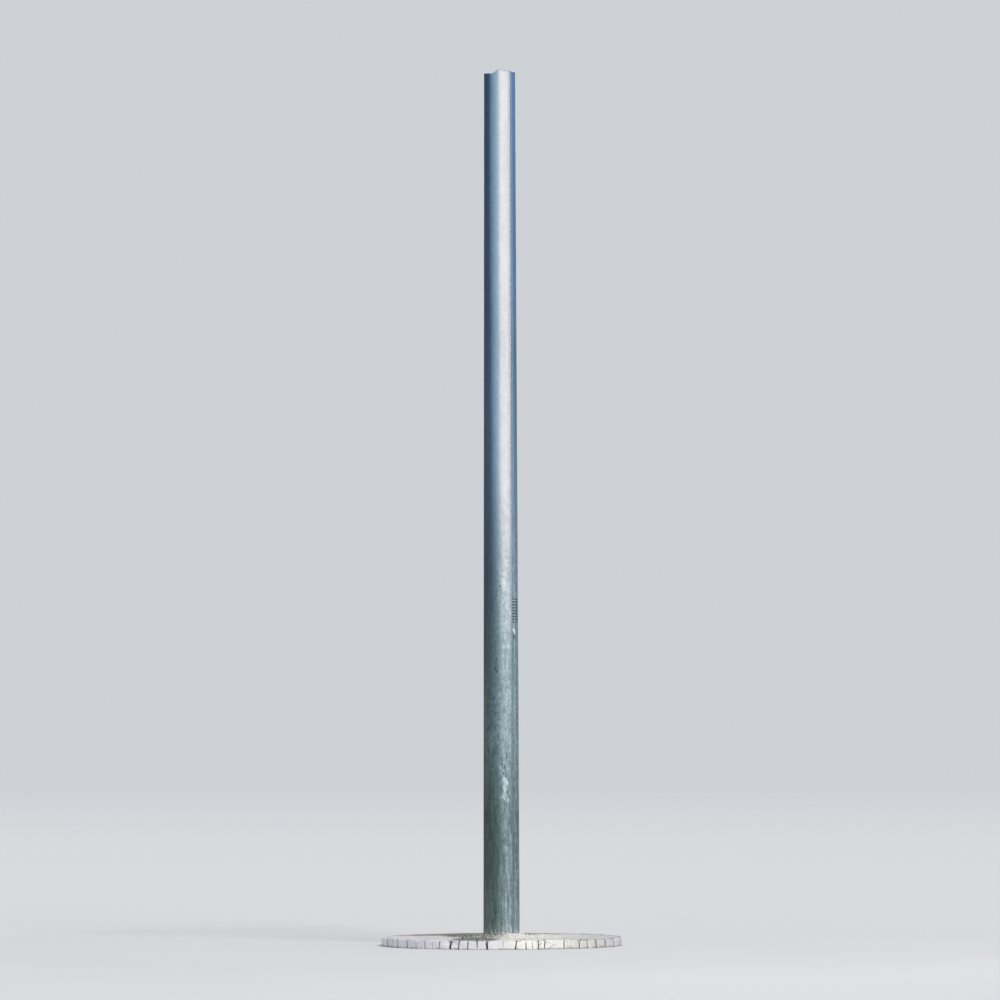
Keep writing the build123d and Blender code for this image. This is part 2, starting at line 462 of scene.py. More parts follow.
class Material:
    """A node material, written as calls. An input is a number, a colour or another node's output."""

    def __init__(self, name):
        self.material = bpy.data.materials.new(name)
        self.material.use_nodes = True
        self.tree = self.material.node_tree
        self.tree.nodes.clear()
        self.output = self.node("OutputMaterial", {})
        self.place = self.node("TexCoord", {}).outputs["Object"]

    def node(self, kind, inputs, **settings):
        node = self.tree.nodes.new("ShaderNode" + kind)
        for key, value in settings.items():
            setattr(node, key, value)
        for key, value in inputs.items():
            if isinstance(value, bpy.types.NodeSocket):
                self.tree.links.new(value, node.inputs[key])
            else:
                node.inputs[key].default_value = value
        return node

    def show(self, shader):
        self.tree.links.new(shader.outputs[0], self.output.inputs["Surface"])

    def math(self, operation, a, b=0.0):
        return self.node("Math", {0: a, 1: b}, operation=operation).outputs[0]

    def add(self, *terms):
        return reduce(lambda a, b: self.math("ADD", a, b), terms)

    def times(self, *factors):
        return reduce(lambda a, b: self.math("MULTIPLY", a, b), factors)

    def less(self, a, b):
        return self.math("SUBTRACT", a, b)

    def more_of(self, a, b):
        return self.math("MAXIMUM", a, b)

    def apart(self, a, b):
        """How far a value is from another."""
        return self.math("ABSOLUTE", self.less(a, b))

    def stretch(self, x, y, z):
        return self.node("Mapping", {"Vector": self.place, "Scale": (x, y, z)}).outputs[0]

    def noise(self, scale, detail=4.0, rough=0.55, place=None, output="Fac"):
        inputs = {"Vector": place or self.place, "Scale": scale, "Detail": detail, "Roughness": rough}
        return self.node("TexNoise", inputs).outputs[output]

    def cells(self, scale, feature="F1", place=None, output="Distance"):
        inputs = {"Vector": place or self.place, "Scale": scale}
        return self.node("TexVoronoi", inputs, feature=feature).outputs[output]

    def cell_grey(self, scale, place=None):
        """A random level from 0 to 1 for each cell."""
        colour = self.cells(scale, place=place, output="Color")
        return self.node("SeparateColor", {0: colour}).outputs[0]

    def ranged(self, value, low, high, to_low=0.0, to_high=1.0, kind="SMOOTHSTEP"):
        inputs = {"Value": value, "From Min": low, "From Max": high, "To Min": to_low, "To Max": to_high}
        return self.node("MapRange", inputs, interpolation_type=kind).outputs[0]

    def band(self, value, start, full, full_end, end):
        """1 from full to full_end, and 0 before start and after end."""
        return self.times(self.ranged(value, start, full), self.ranged(value, end, full_end))

    def swing(self, reach, *settings):
        """Even noise from -reach to reach."""
        return self.ranged(self.noise(*settings), 0.25, 0.75, -reach, reach, kind="LINEAR")

    def ramp(self, value, stops):
        """Colours or greys at stated places of a value, blended evenly in between."""
        low, high = stops[0][0], stops[-1][0]
        node = self.node("ValToRGB", {0: self.ranged(value, low, high, kind="LINEAR")})
        elements = node.color_ramp.elements
        elements[0].color = rgba(stops[0][1])
        elements[1].color = rgba(stops[-1][1])
        for place, colour in stops[1:-1]:
            elements.new((place - low) / (high - low)).color = rgba(colour)
        return node.outputs[0]

    def mix(self, share, a, b, blend="MIX"):
        node = self.node("Mix", {"Factor": share}, data_type="RGBA", blend_type=blend)
        for index, value in ((6, a), (7, b)):
            if isinstance(value, bpy.types.NodeSocket):
                self.tree.links.new(value, node.inputs[index])
            else:
                node.inputs[index].default_value = rgba(value)
        return node.outputs[2]

    def covered(self, base, mask, share, colour):
        """The base with a colour over it where the mask is 1, at a share."""
        return self.mix(self.times(mask, share), base, colour)

    def toned(self, base, share, low, high, value):
        """The base multiplied by a tone that goes from low to high with a value, at a share."""
        return self.mix(share, base, self.mix(1.0, base, self.mix(value, low, high), "MULTIPLY"))

    def split(self):
        """The object's own X, Y and Z."""
        return self.node("SeparateXYZ", {0: self.place}).outputs

    def bearing(self):
        """The bearing in degrees."""
        x, y = self.split()[:2]
        return self.times(self.math("ARCTAN2", x, self.times(y, -1.0)), math.degrees(1.0))

    def radius(self):
        x, y = self.split()[:2]
        return self.math("SQRT", self.add(self.times(x, x), self.times(y, y)))

    def own(self, name):
        """A named number that the mesh holds for each of its points."""
        return self.node("Attribute", {}, attribute_name=name).outputs["Fac"]

    def bump(self, height, strength, distance):
        inputs = {"Height": height, "Strength": strength, "Distance": distance}
        return self.node("Bump", inputs).outputs[0]

    def finish(self, colour, metal, rough, normal):
        inputs = {"Base Color": colour, "Metallic": metal, "Roughness": rough, "Normal": normal}
        self.show(self.node("BsdfPrincipled", inputs))
        return self.material


# Materials


def marked(m, marks, ragged):
    """1 inside any of the ragged marks on the tube and 0 outside."""
    turn = m.bearing()
    z = m.split()[2]
    inside = 0.0
    for bearing, height, half_width, half_height in marks:
        degrees_wide = math.degrees(half_width / tube_radius(height))
        across = m.math("DIVIDE", m.less(turn, bearing), degrees_wide)
        up = m.math("DIVIDE", m.less(z, height), half_height)
        reach = m.add(m.times(across, across), m.times(up, up), ragged)
        inside = m.more_of(inside, m.ranged(reach, 1.15, 0.7))
    return inside


def patch_gap_shade(m, turn, z):
    """1 between the weld runs of the patch, where the zinc is scorched and painted shade darkens the
    gaps.
    """
    low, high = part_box("mended_patch")
    margin = PATCH_PITCH / 2
    near, far = PATCH_BEARINGS
    level = m.band(z, low.z - margin, low.z, high.z, high.z + margin)
    return m.times(level, m.band(turn, near - 1.0, near + 1.0, far - 1.0, far + 2.0))


def spangled(m, base, low, middle):
    """The frosty flowers of cooled zinc: flakes, with faint rings round some of them."""
    place = m.stretch(1.0, 1.0, 0.6)
    flake = m.cell_grey(62.0, place)
    small = m.cell_grey(140.0, place)
    share = m.add(m.times(low, 0.46), 0.12)
    base = m.toned(base, share, (0.66, 0.68, 0.69), (1.28, 1.28, 1.29), flake)
    share = m.add(m.times(low, 0.36), 0.12)
    base = m.toned(base, share, (0.72, 0.74, 0.75), (1.24, 1.24, 1.25), small)
    rings = m.math("SINE", m.times(m.cells(20.0, place=place), 25.0))
    share = m.times(middle, m.ranged(m.noise(7.0, 2.0, 0.5), 0.48, 0.62), 0.3)
    base = m.toned(base, share, (0.8, 0.82, 0.83), 1.16, m.ranged(rings, -1.0, 1.0))
    return base, flake


def streaked(m, base, low, foot):
    """Upright streaks left by the run-off of zinc and rain, strongest near the ground."""
    fine = m.noise(85.0, 4.0, 0.6, m.stretch(1.0, 1.0, 0.1))
    wide = m.noise(24.0, 3.0, 0.5, m.stretch(1.0, 1.0, 0.07))
    share = m.add(m.times(low, 0.36), m.times(foot, 0.55), 0.09)
    base = m.toned(base, share, (0.6, 0.63, 0.64), 1.3, m.ranged(fine, 0.32, 0.68))
    share = m.add(m.times(low, 0.25), 0.12)
    base = m.toned(base, share, (0.8, 0.83, 0.84), 1.12, m.ranged(wide, 0.32, 0.68))
    return base, fine


def galvanized_steel():
    """Hot-dip zinc: smooth and bright high up, mottled, streaked and dull near the ground, with painted
    reflection, shade and highlights in its colour.
    """
    m = Material("galvanized_steel")
    z = m.split()[2]
    turn = m.bearing()
    low = m.ranged(z, 2.5, 1.0)
    # The tone by height is partly a painted reflection: darker low down
    base = m.ramp(z, ZINC_TONES_AND_PAINTED_REFLECTION)
    blotch = m.noise(3.4, 3.0, 0.5, m.stretch(1.0, 1.0, 0.35))
    base = m.toned(base, 1.0, (0.92, 0.925, 0.93), 1.05, m.ranged(blotch, 0.3, 0.7))
    base, flake = spangled(m, base, m.ranged(z, 2.8, 1.9), m.band(z, 1.1, 1.5, 2.1, 2.5))
    speck = m.ranged(m.noise(105.0, 5.0, 0.7, m.stretch(1.0, 1.0, 0.7)), 0.36, 0.62)
    base = m.toned(base, m.ranged(z, 2.7, 2.0, 0.0, 0.55), (0.72, 0.74, 0.75), 1.22, speck)
    base, streak = streaked(m, base, low, m.ranged(z, 1.25, 0.35))

    # Painted shade: the zinc left of the front is darkened and mottled, and green near the ground as a
    # painted reflection of green ground
    across = m.add(turn, m.swing(9.0, 30.0, 4.0, 0.65, m.stretch(1.0, 1.0, 0.4)))
    left_shade = m.times(m.ranged(across, 20.0, -14.0), m.ranged(turn, -175.0, -120.0))
    left_shade = m.times(left_shade, m.ramp(z, LEFT_SHADE_SHARES), m.ranged(flake, 0.0, 1.0, 0.75, 1.15))
    left_shade_tone = m.mix(m.ranged(z, 1.5, 0.9), (0.2, 0.25, 0.27), (0.115, 0.155, 0.125))
    base = m.mix(left_shade, base, left_shade_tone)

    # Painted shade in the dull strip beside the seam, where the bead's shade falls, and a painted
    # highlight in the thin light line that runs down next to it
    seam_shade = m.times(m.ranged(m.apart(turn, SEAM_BEARING), 9.0, 3.0), m.ranged(z, 4.2, 2.6, 0.0, 0.18))
    base = m.mix(seam_shade, base, (0.3, 0.345, 0.37))
    reach = math.degrees(HIGHLIGHT_LINE_HALF_WIDTH / FOOT_RADIUS)
    upright = m.stretch(0.0, 0.0, 1.0)
    wander = m.ranged(m.noise(5.0, 2.0, 0.5, upright), 0.2, 0.8, -1.6, 1.6, kind="LINEAR")
    line = m.ranged(m.apart(m.add(turn, wander), HIGHLIGHT_LINE_BEARING), reach, reach * 0.4)
    broken = m.ranged(m.noise(16.0, 3.0, 0.6, upright), 0.36, 0.52)
    line = m.times(line, m.ranged(z, 2.16, 2.08), broken, m.ranged(z, 0.4, 1.3))
    base = m.covered(base, line, 0.75, (0.8, 0.87, 0.88))

    # Rubbed and dark marks, the painted shadow under the zinc drop, scorch and painted shade between the
    # patch's weld runs, and the cut rim
    ragged = m.ranged(m.noise(110.0, 3.0, 0.7, m.stretch(1.0, 1.0, 0.28)), 0.3, 0.7, -0.65, 1.0)
    worn = m.mix(m.ranged(ragged, -0.4, 0.5), (0.7, 0.82, 0.86), (0.42, 0.53, 0.57))
    base = m.covered(base, marked(m, RUBBED_MARKS, ragged), 0.9, worn)
    base = m.covered(base, marked(m, DARK_MARKS, m.times(ragged, 0.5)), 0.75, (0.09, 0.12, 0.13))
    # Painted shadow under the zinc drop
    base = m.covered(base, marked(m, (DROP_SHADOW_MARK,), m.times(ragged, 0.4)), 0.65, (0.12, 0.15, 0.16))
    # Painted shade, with scorch, in the gaps between the patch's weld runs
    base = m.covered(base, patch_gap_shade(m, turn, z), 0.7, (0.1, 0.125, 0.14))
    base = m.covered(base, m.own("cut"), 0.3, (0.24, 0.26, 0.28))

    # A film of cement low on the foot
    reach = m.ranged(z, SLAB_TOP + FILM_TOP, SLAB_TOP + FILM_FULL, -0.2, 0.24, kind="LINEAR")
    film = m.add(m.noise(135.0, 4.0, 0.65, m.stretch(1.0, 1.0, 0.16)), reach)
    film = m.ranged(film, 0.5, 0.92)
    base = m.covered(base, film, 0.8, (0.66, 0.68, 0.67))

    # Inside, the zinc is dull and dusty
    peel = m.noise(46.0, 3.0, 0.5, m.stretch(1.0, 1.0, 0.45))
    inside = m.own("inside")
    dusty = m.mix(m.ranged(peel, 0.35, 0.65), (0.24, 0.25, 0.26), (0.36, 0.37, 0.38))
    base = m.mix(inside, base, dusty)

    rough = m.add(m.ranged(peel, 0.3, 0.7, 0.22, 0.28), m.times(m.ranged(z, 3.6, 1.2), 0.2))
    rough = m.add(rough, m.times(low, flake, 0.06), m.times(film, 0.25), m.times(m.own("cut"), 0.25))
    rough = m.add(rough, m.times(inside, 0.35))
    metal = m.less(1.0, m.more_of(m.times(film, 0.85), m.times(inside, 0.75)))
    height = m.add(m.times(peel, 0.8), m.times(streak, 0.4), m.times(m.noise(420.0, 2.0, 0.5), 0.04))
    height = m.add(height, m.times(film, 1.5))
    return m.finish(base, metal, rough, m.bump(height, 0.3, 0.0006))


def weld_zinc():
    """The same zinc over a weld: greyer in its hollows and grainier."""
    m = Material("weld_zinc")
    z = m.split()[2]
    duller = m.mix(m.ranged(z, 2.6, 4.2), (0.84, 0.85, 0.86), 1.0)
    # The tone by height is partly a painted reflection: darker low down
    base = m.mix(1.0, m.ramp(z, ZINC_TONES_AND_PAINTED_REFLECTION), duller, "MULTIPLY")
    grime = m.noise(160.0, 3.0, 0.6)
    base = m.toned(base, 1.0, (0.66, 0.68, 0.7), 1.05, m.ranged(grime, 0.35, 0.65))
    # A painted highlight down the middle of the patch
    patch_highlight = m.ranged(m.apart(m.bearing(), HIGHLIGHT_LINE_BEARING), 6.5, 3.0)
    base = m.covered(base, m.times(patch_highlight, m.ranged(z, 2.2, 2.1)), 0.65, (0.8, 0.86, 0.87))
    rough = m.ranged(grime, 0.3, 0.7, 0.5, 0.36)
    return m.finish(base, 1.0, rough, m.bump(m.noise(520.0, 3.0, 0.6), 0.4, 0.0004))


def zinc_and_painted_highlight():
    """A run of zinc that froze thick, pale in part as a painted highlight."""
    m = Material("zinc_and_painted_highlight")
    skin = m.noise(210.0, 3.0, 0.5)
    base = m.mix(m.ranged(skin, 0.35, 0.65), (0.58, 0.68, 0.7), (0.74, 0.82, 0.84))
    return m.finish(base, 0.4, m.ranged(skin, 0.3, 0.7, 0.28, 0.42), m.bump(skin, 0.3, 0.0005))


def crack_lines(m, scale, width, seed):
    """Thin wandering lines: the edges of cells, bent by noise. 1 on a line and 0 off it."""
    place = m.noise(scale * 2.6, 3.0, output="Color")
    steps = (("ADD", {1: (seed,) * 3}), ("SCALE", {"Scale": 0.32 / scale}), ("ADD", {1: m.place}))
    for operation, inputs in steps:
        place = m.node("VectorMath", {0: place, **inputs}, operation=operation).outputs[0]
    edge = m.cells(scale, "DISTANCE_TO_EDGE", place)
    return m.ranged(edge, width * scale, width * scale * 0.35)


def long_cracks(m, x, y):
    """1 on the long, slightly crooked cracks over the footing's top."""
    crooked = m.swing(0.014, 5.0, 5.0, 0.55, m.stretch(0.8, 1.0, 0.0))
    lines = 0.0
    for (start, start_x), (turn, turn_x), end in LONG_CRACKS:
        course = m.add(m.ranged(y, start, turn, start_x, turn_x), crooked)
        line = m.ranged(m.apart(x, course), LONG_CRACK_HALF_WIDTH, LONG_CRACK_HALF_WIDTH * 0.5)
        lines = m.more_of(lines, m.times(line, m.ranged(y, end, end - 0.12)))
    return lines


def concrete_tone(m, x, y, on_top):
    """The footing's tones from left to right, with painted light and shade, and with dirt, a painted
    shadow and earth over its top.
    """
    # The stains' edges wander, and they are thin and blotchy there
    wander = m.swing(0.09, 3.2, 3.0, 0.55)
    frayed = m.swing(0.05, 22.0, 5.0, 0.65)
    blotches = m.ranged(m.noise(13.0, 5.0, 0.65), 0.34, 0.58)
    inner = m.ranged(m.radius(), SLAB_RADIUS - 0.04, SLAB_RADIUS - 0.24)
    # Painted light and shade in the tones: shade on the left, sunlight right of the foot
    clean_and_painted_light = m.ramp(m.add(x, m.times(inner, wander, 2.0)), CLEAN_TONES_AND_PAINTED_LIGHT)
    trodden_and_painted_light = m.ramp(m.add(x, wander), TRODDEN_TONES_AND_PAINTED_LIGHT)
    trodden_and_painted_light = m.toned(trodden_and_painted_light, 1.0, 1.0, (0.85, 0.85, 0.84), blotches)
    clean_and_painted_light = m.covered(clean_and_painted_light, inner, 0.65, trodden_and_painted_light)

    # Left of the foot the top is grey and gritty, a painted shadow of the pole with dirt; towards the
    # front and the back less so
    across = m.add(x, m.times(wander, 0.9), frayed)
    along = m.add(y, wander, m.times(frayed, 1.3))
    pole_shadow_and_dirt = m.times(m.band(across, -0.315, -0.265, -0.065, -0.015), m.ranged(along, -0.7, -0.56))
    pole_shadow_and_dirt = m.times(pole_shadow_and_dirt, m.ranged(along, 0.62, 0.3, 0.35, 1.0), m.ranged(blotches, 0.0, 1.0, 0.85, 1.0))
    top = m.mix(pole_shadow_and_dirt, clean_and_painted_light, m.mix(blotches, (0.235, 0.245, 0.21), (0.17, 0.182, 0.15)))

    # Earth has washed over the back, darker along its front edge at the left
    earthy = m.less(along, m.ranged(x, -0.1, 0.25, 0.25, 0.42))
    crumbly = m.ranged(m.noise(34.0, 5.0, 0.65), 0.3, 0.7)
    earth = m.toned(m.ramp(x, EARTH_TONES), 1.0, (0.78, 0.78, 0.76), (1.25, 1.22, 1.18), crumbly)
    dark_front_edge = m.times(m.ranged(earthy, 0.12, 0.03), m.ranged(x, -0.05, -0.16))
    earth = m.covered(earth, dark_front_edge, 0.8, (0.075, 0.07, 0.05))
    cover = m.times(m.ranged(earthy, -0.03, 0.05), m.ranged(blotches, 0.0, 1.0, 0.55, 0.95))
    return m.mix(on_top, clean_and_painted_light, m.mix(cover, top, earth))


def pale_concrete():
    """Old cast concrete with painted light and shade in its tones, crazed, dirty along its rim, and dark
    in its cracks with dirt and painted shade.
    """
    m = Material("pale_concrete")
    x, y, z = m.split()
    on_top = m.ranged(z, SLAB_TOP - 0.01, SLAB_TOP - 0.003)
    base = concrete_tone(m, x, y, on_top)
    cloud = m.noise(7.0, 5.0, 0.6)
    base = m.toned(base, 1.0, (0.9, 0.905, 0.9), 1.03, m.ranged(cloud, 0.3, 0.7))
    fleck = m.noise(110.0, 3.0, 0.6)
    base = m.mix(m.ranged(fleck, 0.38, 0.3), base, m.mix(1.0, base, (0.74, 0.73, 0.7), "MULTIPLY"))
    base = m.toned(base, 0.3, (0.82, 0.82, 0.81), (1.12, 1.11, 1.1), m.cell_grey(330.0))

    # Lines on the top, short curved cracks to the right of the foot, and faint ones everywhere
    wide = m.times(crack_lines(m, 4.2, 0.003, 0.0), on_top, 0.5)
    front_right = m.times(m.band(x, 0.05, 0.12, 0.28, 0.36), m.ranged(y, 0.0, -0.15))
    curved = m.times(crack_lines(m, 9.0, 0.0022, 3.0), front_right, 0.55)
    here_and_there = m.ranged(m.noise(4.0, 3.0, 0.5), 0.46, 0.6, 0.0, 0.4)
    faint = m.times(crack_lines(m, 15.0, 0.0016, 5.0), here_and_there)
    lines = m.more_of(wide, m.more_of(curved, faint))
    lines = m.more_of(lines, m.times(long_cracks(m, x, y), on_top, 0.95))
    base = m.mix(lines, base, (0.085, 0.078, 0.066))

    # Earth in patches along the top edge, a stain on the side from below, and cracks darkened by dirt
    # and painted shade
    rim = m.times(m.ranged(m.radius(), SLAB_RADIUS - 0.08, SLAB_RADIUS - 0.015), on_top)
    patches = m.ranged(m.noise(16.0, 5.0, 0.65), 0.5, 0.64)
    base = m.covered(base, m.times(rim, patches), 0.5, (0.185, 0.165, 0.11))
    uneven = m.ranged(m.noise(24.0, 4.0, 0.6), 0.3, 0.7, -0.006, 0.006)
    soil = m.ranged(m.add(z, uneven), 0.01, 0.001)
    base = m.covered(base, soil, 0.5, (0.17, 0.145, 0.1))
    # Dirt and painted shade in the open cracks
    base = m.covered(base, m.own("crack"), 0.95, (0.03, 0.028, 0.024))

    pits = m.ranged(m.cells(120.0), 0.2, 0.08)
    height = m.add(m.noise(60.0, 6.0, 0.65), m.times(fleck, 0.6))
    height = m.less(height, m.add(m.times(lines, 1.4), m.times(pits, 0.5)))
    return m.finish(base, 0.0, m.ranged(cloud, 0.3, 0.7, 0.82, 0.95), m.bump(height, 0.6, 0.0016))


def pale_mortar():
    """Coarse cement mortar, nearly white, with sand grains and small shrinkage cracks."""
    m = Material("pale_mortar")
    cloud = m.noise(22.0, 4.0, 0.6)
    base = m.mix(m.ranged(cloud, 0.3, 0.7), (0.78, 0.77, 0.74), (0.92, 0.91, 0.88))
    sand = m.cell_grey(420.0)
    base = m.toned(base, 0.4, (0.7, 0.69, 0.66), (1.12, 1.11, 1.1), sand)
    lines = crack_lines(m, 22.0, 0.0016, 1.0)
    base = m.covered(base, lines, 0.6, (0.13, 0.12, 0.1))
    # Grey, a painted shadow with dirt, and with dark gaps at the left of the foot
    turn = m.bearing()
    mortar_shadow_and_dirt = m.band(turn, -165.0, -110.0, -14.0, 26.0)
    base = m.covered(base, mortar_shadow_and_dirt, 0.7, m.mix(sand, (0.17, 0.18, 0.155), (0.42, 0.43, 0.41)))
    left = m.band(turn, -66.0, -50.0, -20.0, -8.0)
    gap = m.times(left, m.ranged(m.noise(46.0, 3.0, 0.6), 0.5, 0.58))
    base = m.covered(base, gap, 0.85, (0.1, 0.11, 0.085))
    height = m.add(m.noise(130.0, 6.0, 0.7), m.times(sand, 0.35))
    height = m.less(height, m.add(lines, m.times(gap, 1.5)))
    return m.finish(base, 0.0, m.ranged(cloud, 0.3, 0.7, 0.84, 0.96), m.bump(height, 0.8, 0.002))


# The tube


def build_tube(material):
    """The tube as one closed skin: outside up, across the cut rim, inside down, across the foot."""
    bearings = np.linspace(-180.0, 180.0, TUBE_COLUMNS, endpoint=False)
    rims = np.interp(bearings, RIM_BEARINGS, RIM_HEIGHTS, period=360.0)
    level_top = POLE_TOP - 1.4 * RIM_BAND
    points = []
    for z in np.linspace(0.0, level_top, round(level_top / TUBE_ROW_STEP)):
        points += [at_bearing(tube_skin(b, z), b, z) for b in bearings]
    cut = [0.0] * len(points)
    for share, scorched in UNDER_RIM:
        for b, rim in zip(bearings, rims):
            z = level_top + (rim - level_top) * share
            points.append(at_bearing(tube_skin(b, z), b, z))
            cut.append(scorched)
    # The flame that cut the rim has melted its edges a little and left fine notches
    for share, drop in CUT_PROFILE:
        for index, (b, rim) in enumerate(zip(bearings, rims)):
            notch = CUT_NOTCH * (0.5 + 0.5 * math.sin(index * 2.1 + 3.0 * wobble((b, 0.0, 0.0), 0.2)))
            z = rim - drop - notch
            points.append(at_bearing(tube_skin(b, z) - share * WALL, b, z))
            cut.append(1.0)
    outside = len(points)
    for depth in INSIDE_DEPTHS:
        for b, rim in zip(bearings, rims):
            z = rim - depth
            points.append(at_bearing(tube_radius(z) - WALL, b, z))
    points += [at_bearing(tube_radius(0.0) - WALL, b, 0.0) for b in bearings]
    inside = [0.0] * outside + [1.0] * (len(points) - outside)
    faces = grid_faces(len(points) // TUBE_COLUMNS, TUBE_COLUMNS, close_rows=True)
    tube = add_piece("pole_skin", points, faces, material)
    add_shares(tube, "cut", cut)
    add_shares(tube, "inside", inside)
    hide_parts("pole_shell")


def ripple(distance, pitch):
    """A weld's ripple: steep on one side and shallow on the other, from 0 to 1."""
    phase = distance / pitch % 1.0
    return min(phase / RIPPLE_PEAK, (1.0 - phase) / (1.0 - RIPPLE_PEAK))


def seam_ripple(z, bow):
    """The seam's ripple at a height, and how strong it is there."""
    start, end = COARSE_STRETCH
    coarse = smooth(start - COARSE_FADE, start, z) * (1.0 - smooth(end, end + COARSE_FADE, z))
    strength = 0.28 + 0.5 * coarse
    pitch = COARSE_RIPPLE if coarse > 0.5 else SEAM_RIPPLE
    return 1.0 - strength + strength * ripple(z + bow, pitch)


def build_seam(material):
    """The seam weld's bead, with curved ripples, and the small root bead inside the tube."""
    top = float(np.interp(SEAM_BEARING, RIM_BEARINGS, RIM_HEIGHTS)) - BEAD_END
    levels = np.linspace(0.0, top, round(top / SEAM_RIPPLE * 3))
    across = np.linspace(-1.0, 1.0, 9)
    points = []
    for z in levels:
        half_turn = math.degrees(SEAM_WIDTH / 2 / tube_radius(z))
        sway = 0.12 * wobble((0.0, 0.0, z), 14.0, 9.0)
        for u in across:
            rise = SEAM_CROWN * (1.0 - u * u) * seam_ripple(z, 0.004 * u * u)
            b = SEAM_BEARING + (u + sway) * half_turn
            points.append(at_bearing(tube_skin(b, z) + rise, b, z))
        for u in (0.55, -0.55):
            points.append(at_bearing(tube_radius(z) - BEAD_SINK, SEAM_BEARING + u * half_turn, z))
    faces = closed_strip(len(levels), len(across) + 2, 0)
    start = len(points)
    root_levels = np.linspace(0.0, top, 90)
    for z in root_levels:
        inner = tube_radius(z) - WALL
        for side, depth in ROOT_PROFILE:
            points.append(at_bearing(inner - depth, SEAM_BEARING - side * ROOT_WIDTH_DEGREES, z))
    faces += closed_strip(len(root_levels), len(ROOT_PROFILE), start)
    seam = add_piece("seam_bead", points, faces, material)
    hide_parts("seam_weld")


def closed_strip(rows, columns, start):
    """The faces of a bar whose section is a row of points, with both ends closed."""
    faces = grid_faces(rows, columns)
    faces.append(tuple(range(columns))[::-1])
    faces.append(tuple((rows - 1) * columns + i for i in range(columns)))
    return [tuple(start + i for i in face) for face in faces]


def build_patch(material):
    """The level weld runs beside the seam, one above another."""
    low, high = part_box("mended_patch")
    middle = (low.z + high.z) / 2
    bearings = np.linspace(*PATCH_BEARINGS, 34)
    across = np.linspace(-1.0, 1.0, 7)
    points, faces = [], []
    for run in range(PATCH_RUNS):
        height = middle + (run - (PATCH_RUNS - 1) / 2) * PATCH_PITCH
        start = len(points)
        for index, b in enumerate(bearings):
            along = math.radians(b) * tube_radius(height)
            ends = min(1.0, 0.35 + 0.2 * min(index, len(bearings) - 1 - index))
            lean = 0.0012 * wobble((b * 0.02, run * 3.0, 0.0), 3.0)
            for u in across:
                half_width = PATCH_RUN_WIDTH / 2 * (0.55 + 0.45 * ends)
                rise = PATCH_RUN_CROWN * ends * (1.0 - u * u)
                rise *= 0.75 + 0.25 * ripple(along + 0.003 * u * u, PATCH_RIPPLE)
                z = height + lean + u * half_width
                points.append(at_bearing(tube_skin(b, z) + rise, b, z))
            points.append(at_bearing(tube_radius(height) - BEAD_SINK, b, height + lean))
        faces += flipped(closed_strip(len(bearings), len(across) + 1, start))
    patch = add_piece("patch_beads", points, faces, material)
    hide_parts("mended_patch")


def build_zinc_drop(material):
    """A frozen drop of zinc, thick above and drawn out downwards and to the right."""
    corners, faces = unit_lump(4)
    half_width, thickness, half_height = DROP_SIZE
    points = []
    for corner in corners:
        down = -corner.z
        narrow = 1.0 - 0.5 * smooth(-0.4, 1.0, down)
        across = corner.x * half_width * narrow + DROP_SLANT * down
        swell = 1.0 + 0.06 * noise.noise(corner * 2.0)
        outwards = max(-0.5, -corner.y) * thickness * narrow * swell
        z = DROP_HEIGHT - down * half_height
        b = DROP_BEARING + math.degrees(across / tube_radius(z))
        points.append(at_bearing(tube_radius(z) + outwards, b, z))
    drop = add_piece("zinc_drop", points, faces, material)
    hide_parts("zinc_run")


def build_splashes(material):
    """Smears of mortar that stick to the tube just above its foot."""
    draw = random.Random(41)
    splashes = list(SPLASHES)
    for _ in range(MORE_SPLASHES):
        bearing = draw.uniform(75.0, 335.0)
        splashes.append((bearing, draw.uniform(0.01, 0.026), draw.uniform(0.01, 0.04)))
    across = np.linspace(-1.0, 1.0, 13)
    levels = np.linspace(0.0, 1.0, 9)
    base = SLAB_TOP + 0.001
    points, faces = [], []
    for seed, (bearing, width, height) in enumerate(splashes):
        start = len(points)
        half_turn = math.degrees(width / 2 / FOOT_RADIUS)
        for level in levels:
            for u in across:
                ragged = 1.0 + 0.55 * wobble((u * 1.7, seed * 3.0, 0.0), 2.0)
                top = height * (1.0 - abs(u) ** 2.4) * ragged
                z = base + level * max(top, 0.002)
                lumpy = 1.0 + 0.5 * wobble((u, level * 2.0, seed * 2.0), 2.5, 4.0)
                rise = SPLASH_THICKNESS * (1.0 - u * u) * (1.0 - level**2) * lumpy
                b = bearing + u * half_turn * (1.0 - 0.3 * level)
                points.append(at_bearing(tube_skin(b, z) + rise - 0.0002, b, z))
            points.append(at_bearing(FOOT_RADIUS - 0.003, bearing, base + level * height * 0.5))
        faces += closed_strip(len(levels), len(across) + 1, start)
    add_piece("mortar_splashes", points, faces, material)


# The footing


Crack = namedtuple("Crack", "bearing width length drift depth darkness lean taper")


def crack_list():
    """All cracks, those of EDGE_CRACKS first."""
    draw = random.Random(11)
    cracks = []
    for crack in EDGE_CRACKS:
        lean = draw.uniform(-0.008, 0.008)
        cracks.append(Crack(*crack, CRACK_DEPTH, 1.0, lean, draw.uniform(-0.5, 0.6)))
    for bearings, full_width, depth, darkness in (
        (FINE_CRACKS, FINE_CRACK_WIDTH, CRACK_DEPTH * 0.5, 0.95),
        (HAIR_CRACKS, HAIR_CRACK_WIDTH, CRACK_DEPTH * 0.15, 0.6),
    ):
        for bearing in bearings:
            width = full_width * draw.uniform(0.85, 1.15)
            length = draw.uniform(0.04, 0.1)
            drift = draw.uniform(-0.007, 0.007)
            lean = draw.uniform(-0.003, 0.003)
            taper = draw.uniform(-0.95, 0.95)
            cracks.append(Crack(bearing, width, length, drift, depth, darkness, lean, taper))
    return cracks


CRACKS = crack_list()


